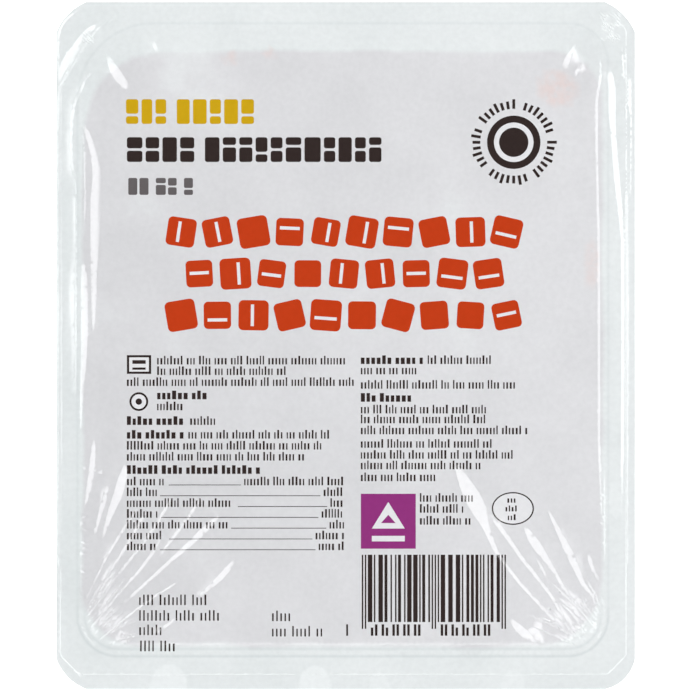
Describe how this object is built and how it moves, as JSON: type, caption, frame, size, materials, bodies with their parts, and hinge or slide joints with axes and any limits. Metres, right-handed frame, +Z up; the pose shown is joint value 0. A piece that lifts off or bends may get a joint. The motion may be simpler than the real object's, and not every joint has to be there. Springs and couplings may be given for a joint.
{
  "type": "bacon pack",
  "caption": "Shallow clear tray of bacon dice, sealed with a sagging printed film over a broad rim with one peel corner.",
  "frame": {"origin": "on the ground under the middle of the pack's outline", "axes": "+Z up, out of the printed film; +Y towards the top of the print; +X towards its right side"},
  "size_m": [0.1264, 0.15, 0.0287],
  "materials": {
    "clear_plastic": "clear thermoformed plastic with a faint blue green tint, smooth and glossy",
    "bacon": "moist cured meat, pink lean with creamy fat layers",
    "printed_film": "thin glossy film printed white, with fields of orange red, mustard, dark brown and purple"
  },
  "bodies": {
    "root": {"tray": "clear_plastic", "bacon_dice": "bacon", "lid_film": "printed_film"}
  },
  "joints": []
}
